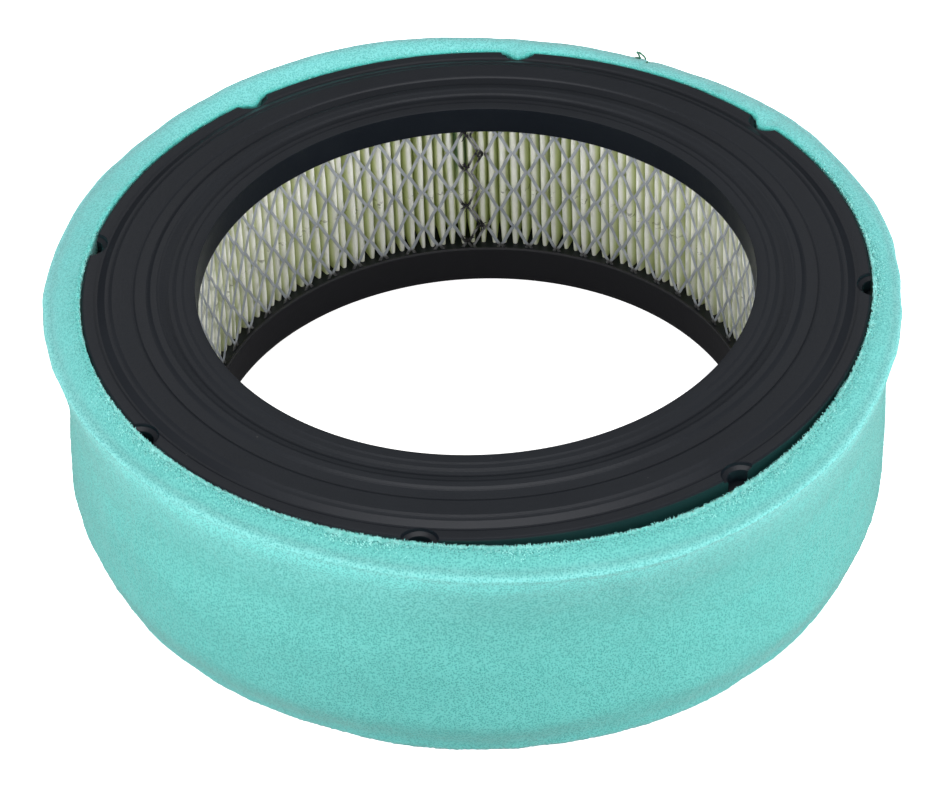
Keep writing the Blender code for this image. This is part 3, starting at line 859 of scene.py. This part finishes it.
def screen_material():
    m = Mat("expanded_steel")
    smear = m.noise(260.0, 4.0, 0.6)
    fine = m.noise(2400.0, 3.0, 0.6)
    colour = m.mix(m.span(smear, 0.3, 0.7), (0.40, 0.435, 0.485), (0.58, 0.615, 0.66))
    burn_and_dark_foot = m.attribute("burn_and_dark_foot")
    blackened = m.math("MULTIPLY", m.span(burn_and_dark_foot, 0.12, 0.62, smooth=True), m.span(m.noise(1300.0, 3.0, 0.7), 0.3, 0.5, 0.35, 1.0))
    halo = m.math("MULTIPLY", m.span(burn_and_dark_foot, 0.02, 0.3), 0.45)
    colour = m.mix(halo, colour, (0.20, 0.155, 0.10))
    colour = m.mix(blackened, colour, (0.018, 0.018, 0.022))
    m.link(colour, m.bsdf.inputs["Base Color"])
    m.bsdf.inputs["Metallic"].default_value = 0.55
    m.link(m.span(smear, 0.3, 0.7, 0.42, 0.6), m.bsdf.inputs["Roughness"])
    height = m.math("ADD", m.math("MULTIPLY", smear, 0.4), m.math("MULTIPLY", fine, 0.6))
    m.link(m.bump(height, 0.00005, 0.7), m.bsdf.inputs["Normal"])
    return m.mat


def weld_material():
    m = Mat("weld_scale")
    n = m.noise(1800.0, 4.0, 0.7)
    colour = m.ramp(n, [(0.3, (0.008, 0.008, 0.010)), (0.55, (0.035, 0.034, 0.038)), (0.8, (0.14, 0.12, 0.10))])
    m.link(colour, m.bsdf.inputs["Base Color"])
    m.bsdf.inputs["Metallic"].default_value = 0.4
    m.link(m.span(n, 0.3, 0.8, 0.75, 0.35), m.bsdf.inputs["Roughness"])
    m.link(m.bump(n, 0.00012, 1.0), m.bsdf.inputs["Normal"])
    return m.mat


# --------------------------------------------------------------------- pleats
PLEATS = 164
PAPER = 0.42


def build_paper():
    """One strip folded into a ring: rounded folds at the bore, whose walls spread until they
    touch the next fold's a few millimetres in, and rounded folds at the outside."""
    rng = np.random.default_rng(21)
    pitch = TAU / PLEATS
    jitter = rng.normal(0, 0.075, PLEATS).clip(-0.15, 0.15)
    jitter = jitter - jitter.mean()
    tip_a = (np.arange(PLEATS) + jitter) * pitch
    tip_r = 63.0 + rng.normal(0, 0.15, PLEATS).clip(-0.2, 0.35)
    rho_i = (0.35 + rng.normal(0, 0.05, PLEATS)).clip(0.25, 0.46)
    touch = (3.4 + rng.normal(0, 0.55, PLEATS)).clip(2.4, 4.6)
    rho_o = 0.62
    levels = np.array([18.8, 19.7, 20.5, 21.5, 22.8, 24.6, 27.5, 31.0, 35.0, 39.0, 43.0, 47.0, 50.5, 53.0, 54.9])
    t_lv = (levels - levels[0]) / (levels[-1] - levels[0])
    sway = rng.normal(0, 0.085, (PLEATS, 3)).clip(-0.2, 0.2)
    half = PAPER / 2
    rings = []
    for li, z in enumerate(levels):
        t = t_lv[li]
        bend = sway[:, 0] * math.sin(math.pi * t) + sway[:, 1] * math.sin(2 * math.pi * t) + sway[:, 2] * (t - 0.5)
        opened = math.exp(-((t / 0.10) ** 1.4)) + 0.5 * math.exp(-(((1 - t) / 0.06) ** 1.4))
        pinch = 1 - 0.32 * math.exp(-t * 13) - 0.12 * math.exp(-(1 - t) * 14)
        back = 0.75 * math.exp(-t * 13) + 0.2 * math.exp(-(1 - t) * 14)
        ang = tip_a + bend / 63.0
        loop = []
        for k in range(PLEATS):
            k2 = (k + 1) % PLEATS
            a, a2 = ang[k], ang[k2] + (TAU if k2 == 0 else 0)
            b = (a + a2) / 2

            def tip(at, index):
                o = np.array([math.cos(at), math.sin(at)])
                q = np.array([-math.sin(at), math.cos(at)])
                rho = rho_i[index] * pinch
                return o, q, rho, o * (tip_r[index] + back + rho + half)

            o1, q1, rho1, c1 = tip(a, k)
            o3, q3, rho3, c3 = tip(a2, k2)
            o2 = np.array([math.cos(b), math.sin(b)])
            q2 = np.array([-math.sin(b), math.cos(b)])
            for w in np.radians([-72, -48, -24, 0, 24, 48, 72]):
                loop.append(c1 + q1 * math.sin(w) * rho1 - o1 * math.cos(w) * rho1)

            def wall(sign, index, rho):
                depth = touch[index] if sign < 0 else touch[k2]
                r_touch = tip_r[index] + back + depth
                spacing = (a2 - a) / 2
                shut = half + 0.035
                pts = []
                for r, share in ((r_touch, 1.0), (r_touch + 2.4, 1.0), (73.2, 0.55)):
                    free = spacing * r - rho
                    off = shut * (1 - opened) + max(shut, free) * opened if share == 1.0 else shut * 0.4 + rho_o * 0.6
                    pts.append(o2 * r + q2 * sign * off)
                return pts

            left = wall(-1, k, rho1)
            start = loop[-1]
            loop.append(start * 0.45 + left[0] * 0.55 + q1 * 0.05 * (1 - opened))
            loop += left
            c2 = o2 * (77.6 - rho_o - half)
            for w in np.radians([-90, -45, 0, 45, 90]):
                loop.append(c2 + q2 * math.sin(w) * rho_o + o2 * math.cos(w) * rho_o)
            right = wall(1, k2, rho3)[::-1]
            loop += right
            w = math.radians(-72)
            end = c3 + q3 * math.sin(w) * rho3 - o3 * math.cos(w) * rho3
            loop.append(end * 0.45 + right[-1] * 0.55 - q3 * 0.05 * (1 - opened))
        rings.append(loop)
    P = np.array(rings)
    L, n = P.shape[:2]
    # unit normals in plan from the line itself, pointing to the bore side of the paper
    T = np.roll(P, -1, 1) - np.roll(P, 1, 1)
    T /= np.linalg.norm(T, axis=-1, keepdims=True)
    Nn = np.stack([T[..., 1], -T[..., 0]], -1)
    Z = np.broadcast_to(levels[:, None, None], (L, n, 1))
    A = np.concatenate([P + Nn * half, Z], -1)
    B = np.concatenate([P - Nn * half, Z], -1)
    section = np.concatenate([A, B[::-1]], 0)          # up the bore side, down the outer side
    co = np.transpose(section, (1, 0, 2))
    az = np.degrees(np.arctan2(co[..., 1], co[..., 0]))
    # painted shade: dark green lines down the folds stand in for gaps seen into, with green light from the foam behind
    slit = sum(w * np.exp(-(((az - at - (co[..., 2] - 45) * 0.03) / 0.42) ** 2)) for at, w in ((93.0, 1.0), (91.2, 0.8), (75.2, 0.75)))
    slit = slit * np.clip((co[..., 2] - 36) / 6, 0, 1) * np.clip((np.hypot(co[..., 0], co[..., 1]) - 63.5) / 0.6, 0, 1)
    obj = quad_mesh("pleated_paper_folds", co, ring_quads(n, 2 * L), {"slit": slit})
    fix_normals(obj)
    return shade(obj, 60)


def paper_material():
    m = Mat("pleated_filter_paper")
    r = m.radius()
    z = m.height()
    fibre_vec = m.node("ShaderNodeMapping")
    m.link(m.coords(), fibre_vec.inputs["Vector"])
    fibre_vec.inputs["Scale"].default_value = (1.0, 1.0, 0.35)
    fibre = m.noise(1900.0, 4.0, 0.65, vector=fibre_vec.outputs[0])
    cloud = m.noise(70.0, 3.0, 0.6)
    # painted shade: the paper goes from ivory at the fold tips to olive and dark green deeper in the folds, for the
    # shade and the green light from the foam inside them
    deep = m.span(r, 0.0632, 0.0672)
    colour = m.ramp(deep, [(0.0, (0.98, 0.97, 0.95)), (0.06, (0.95, 0.95, 0.89)), (0.15, (0.78, 0.81, 0.58)), (0.34, (0.64, 0.70, 0.33)), (1.0, (0.46, 0.55, 0.13))])
    colour = m.mix(m.span(cloud, 0.35, 0.75, 0.0, 0.3), colour, (0.72, 0.76, 0.52))
    colour = m.mix(m.span(fibre, 0.28, 0.72, 0.26, 0.0), colour, (0.55, 0.55, 0.42))
    # creases pressed across the folds at mid height
    band = m.math("SUBTRACT", 1.0, m.span(m.math("ABSOLUTE", m.math("SUBTRACT", z, 0.0352)), 0.0002, 0.0014))
    stroke_vec = m.node("ShaderNodeMapping")
    m.link(m.coords(), stroke_vec.inputs["Vector"])
    stroke_vec.inputs["Scale"].default_value = (1.0, 1.0, 2.2)
    stroke = m.span(m.noise(620.0, 2.0, 0.6, vector=stroke_vec.outputs[0]), 0.56, 0.62)
    mark = m.math("MULTIPLY", m.math("MULTIPLY", band, stroke), 0.6)
    colour = m.mix(mark, colour, (0.14, 0.15, 0.09))
    # painted shade: the slit lines are painted dark green
    colour = m.mix(m.math("MULTIPLY", m.attribute("slit"), 0.9), colour, (0.02, 0.16, 0.06))
    m.link(colour, m.bsdf.inputs["Base Color"])
    m.bsdf.inputs["Roughness"].default_value = 0.85
    m.bsdf.inputs["Specular IOR Level"].default_value = 0.22
    # painted light: a faint glow in the paper's own colour brightens it where little light reaches
    m.link(colour, m.bsdf.inputs["Emission Color"])
    m.bsdf.inputs["Emission Strength"].default_value = 0.035
    m.link(m.bump(m.math("ADD", fibre, m.math("MULTIPLY", mark, -3.0)), 0.00006, 0.7), m.bsdf.inputs["Normal"])
    shine = m.node("ShaderNodeBsdfTranslucent")
    m.link(m.mix(0.5, colour, (0.62, 0.78, 0.34), "MULTIPLY"), shine.inputs["Color"])
    both = m.node("ShaderNodeMixShader")
    both.inputs[0].default_value = 0.2
    m.link(m.bsdf.outputs[0], both.inputs[1])
    m.link(shine.outputs[0], both.inputs[2])
    m.link(both.outputs[0], m.out.inputs["Surface"])
    return m.mat


# ------------------------------------------------------------- thread of seam
def tube_mesh(name, lines, radius, sides=6, twist=0.0):
    verts, quads, base = [], [], 0
    for line in lines:
        pts = np.array(line, float)
        t = np.gradient(pts, axis=0)
        t /= np.linalg.norm(t, axis=1, keepdims=True)
        u = None
        for i in range(len(pts)):
            ref = np.array([0, 0, 1.0]) if u is None and abs(t[i][2]) < 0.9 else np.array([1.0, 0, 0]) if u is None else u
            u = ref - t[i] * (ref @ t[i])
            u /= np.linalg.norm(u)
            v = np.cross(t[i], u)
            rad = radius * (1 + 0.12 * math.sin(i * 1.7))
            for s in range(sides):
                w = TAU * s / sides + twist * i
                verts.append(pts[i] + (u * math.cos(w) + v * math.sin(w)) * rad)
        for i in range(len(pts) - 1):
            for s in range(sides):
                a0, a1 = base + i * sides + s, base + i * sides + (s + 1) % sides
                quads.append((a0, a1, a1 + sides, a0 + sides))
        o, e = base, base + (len(pts) - 1) * sides
        quads += [(o + 3, o + 2, o + 1, o), (o, o + 5, o + 4, o + 3), (e, e + 1, e + 2, e + 3), (e + 3, e + 4, e + 5, e)]
        base += len(pts) * sides
    obj = quad_mesh(name, verts, quads)
    fix_normals(obj)
    return shade(obj, 60)


def smooth_line(points, per=6):
    pts = [np.array(p, float) for p in points]
    pts = [2 * pts[0] - pts[1]] + pts + [2 * pts[-1] - pts[-2]]
    out = []
    for i in range(1, len(pts) - 2):
        p0, p1, p2, p3 = pts[i - 1 : i + 3]
        for k in range(per):
            t = k / per
            out.append(0.5 * (2 * p1 + (p2 - p0) * t + (2 * p0 - 5 * p1 + 4 * p2 - p3) * t * t + (3 * p1 - p0 - 3 * p2 + p3) * t**3))
    out.append(pts[-2])
    return out


def build_thread():
    a = math.radians(SEAM_DEG)
    out = np.array([math.cos(a), math.sin(a), 0])
    side = np.array([-math.sin(a), math.cos(a), 0])
    up = np.array([0, 0, 1.0])

    def wall(z):
        r = float(pchip(OUT_LEVELS, OUT_RADII, np.array([z]))[0])
        t = z / 57
        ang = np.array([a])
        return r + float(lobes(ang, LOBES_LOW)[0]) * max(0, 1 - 2 * t) + float(lobes(ang, LOBES_MID)[0]) * (1 - abs(2 * t - 1)) + float(lobes(ang, LOBES_TOP)[0]) * max(0, 2 * t - 1)

    lines = []
    # overlock stitches: slanting bars across the butted ends, joined along one side
    z = 2.2
    while z < 55.0:
        r = wall(z) + 0.05
        pts = [
            out * (r - 0.7) + side * -2.1 + up * z,
            out * (r + 0.12) + side * -1.5 + up * (z + 0.25),
            out * (r - 0.25) + side * 0.0 + up * (z + 1.0),
            out * (r + 0.12) + side * 1.5 + up * (z + 1.75),
            out * (r - 0.7) + side * 2.1 + up * (z + 2.0),
        ]
        lines.append(smooth_line(pts, 4))
        z += 3.4
    ang = np.array([a])
    r_top = OUT_RADII[-1] + float(lobes(ang, LOBES_TOP)[0])
    z_top = 57.0 + float(lobes(ang, LOBES_EDGE)[0])
    # across the top face, then the two loose tails
    across = [out * (r_top - d) + up * (z_top - 0.25 + 0.3 * math.sin(d)) + side * 0.25 * math.sin(2.2 * d) for d in (1.4, 3.0, 4.4, 5.8, 7.0)]
    lines.append(smooth_line(across, 4))
    foot = out * (r_top - 0.5) + up * (z_top - 0.1) + side * 0.8
    lines.append(smooth_line([foot, foot + up * 0.9 + side * 0.7, foot + up * 1.6 + side * 1.95], 5))
    foot2 = out * (r_top - 0.7) + up * (z_top - 0.1) + side * 2.15
    lines.append(smooth_line([foot2, foot2 + up * 0.8 + side * 0.35, foot2 + up * 1.75 + side * 0.95], 5))
    lines.append(smooth_line([foot2 + side * 1.3 - up * 0.15, foot2 + up * 0.1 + side * 0.6, foot2 + up * 0.05], 5))
    return tube_mesh("sleeve_thread_stitches", lines, 0.23, twist=0.35)


def thread_material():
    m = Mat("seam_thread")
    n = m.noise(3500.0, 3.0, 0.6)
    colour = m.mix(n, (0.006, 0.085, 0.045), (0.02, 0.19, 0.10))
    m.link(colour, m.bsdf.inputs["Base Color"])
    m.bsdf.inputs["Roughness"].default_value = 0.7
    m.bsdf.inputs["Sheen Weight"].default_value = 0.3
    m.link(m.bump(n, 0.00008, 0.8), m.bsdf.inputs["Normal"])
    return m.mat


# ------------------------------------------------------------ floor and lights
def build_stage():
    mesh = bpy.data.meshes.new("floor")
    s = 6.0
    mesh.from_pydata([(-s, -s, 0), (s, -s, 0), (s, s, 0), (-s, s, 0)], [], [(0, 1, 2, 3)])
    floor = bpy.data.objects.new("floor", mesh)
    floor.location.z = -0.0002
    bpy.context.scene.collection.objects.link(floor)
    m = Mat("pale_floor")
    m.bsdf.inputs["Base Color"].default_value = (0.86, 0.86, 0.86, 1)
    m.bsdf.inputs["Roughness"].default_value = 0.9
    m.bsdf.inputs["Specular IOR Level"].default_value = 0.1
    m.bsdf.inputs["Emission Color"].default_value = (1, 1, 1, 1)
    m.bsdf.inputs["Emission Strength"].default_value = 1.0
    mesh.materials.append(m.mat)
    floor.visible_glossy = False
    floor.visible_diffuse = False


def area_light(name, place, aim, size, power, colour=(1, 1, 1), size_y=None, gloss=1.0):
    """An area light. With gloss under 1, only that part of its power shows in reflections."""
    if gloss < 1.0:
        area_light(name + "_fill", place, aim, size, power * (1 - gloss), colour, size_y).visible_glossy = False
        power *= gloss
    data = bpy.data.lights.new(name, "AREA")
    data.shape = "RECTANGLE"
    data.size = size
    data.size_y = size_y or size
    data.energy = power
    data.color = colour
    obj = bpy.data.objects.new(name, data)
    obj.location = place
    obj.rotation_mode = "QUATERNION"
    obj.rotation_quaternion = (Vector(aim) - Vector(place)).to_track_quat("-Z", "Y")
    bpy.context.scene.collection.objects.link(obj)
    return obj


def build_lights():
    world = bpy.data.worlds.new("studio")
    world.use_nodes = True
    tree = world.node_tree
    back = tree.nodes["Background"]
    back.inputs["Color"].default_value = (1, 1, 1, 1)
    # a soft studio: dim low down behind the object, paler above and in front
    where = tree.nodes.new("ShaderNodeTexCoord")
    split = tree.nodes.new("ShaderNodeSeparateXYZ")
    lean = tree.nodes.new("ShaderNodeMath")
    lean.operation = "MULTIPLY_ADD"
    lean.inputs[1].default_value = -0.30
    fade = tree.nodes.new("ShaderNodeMapRange")
    fade.interpolation_type = "SMOOTHSTEP"
    for key, v in (("From Min", -0.05), ("From Max", 0.80), ("To Min", 0.08), ("To Max", 0.48)):
        fade.inputs[key].default_value = v
    tree.links.new(where.outputs["Generated"], split.inputs[0])
    tree.links.new(split.outputs[1], lean.inputs[0])
    tree.links.new(split.outputs[2], lean.inputs[2])
    tree.links.new(lean.outputs[0], fade.inputs["Value"])
    tree.links.new(fade.outputs["Result"], back.inputs["Strength"])
    bpy.context.scene.world = world
    area_light("overhead", (0.0, -0.05, 1.25), (0, 0, 0), 0.8, 3.5)
    area_light("front", (-0.12, -1.50, 0.55), (0, 0, 0.03), 1.3, 23.8, gloss=0.29)
    area_light("left", (-1.30, -0.35, 0.42), (0, 0, 0.03), 1.0, 18.4, gloss=0.19)
    area_light("right", (1.30, -0.35, 0.42), (0, 0, 0.03), 1.0, 22.9, gloss=0.17)
    area_light("back_left", (-0.31, 1.0, 0.84), (0, 0, 0.05), 0.34, 0.30, size_y=0.5)
    area_light("back_right", (0.31, 1.0, 0.84), (0, 0, 0.05), 0.34, 0.27, size_y=0.5)


# ------------------------------------------------------------------ all of it
def dress(obj, material, body, slot_name, *nodes):
    obj.data.materials.clear()
    obj.data.materials.append(material)
    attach(obj, body)
    if nodes:
        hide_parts(*nodes)
    return obj


make_camera()
foam, ring = build_foam()
foam_mat = foam_material()
dress(foam, foam_mat, "precleaner", "foam", "foam_sleeve")
struts = build_struts(ring)
dress(struts, strut_material(), "precleaner", "foam")
thread = build_thread()
dress(thread, thread_material(), "precleaner", "thread", "sleeve_seam_thread")

upper, lower = build_caps()
cap_mat = cap_material()
dress(upper, cap_mat, "cartridge", "moulded_cap", "upper_end_cap")
dress(lower, cap_mat, "cartridge", "moulded_cap", "lower_end_cap")
steel = screen_material()
dress(build_inner_screen(), steel, "cartridge", "screen_steel", "inner_screen")
dress(build_outer_screen(), steel, "cartridge", "screen_steel", "outer_screen")
dress(weld_blobs(), weld_material(), "cartridge", "screen_steel")
dress(build_paper(), paper_material(), "cartridge", "filter_paper", "pleated_paper")

build_stage()
build_lights()
bpy.context.scene.view_settings.view_transform = "Standard"
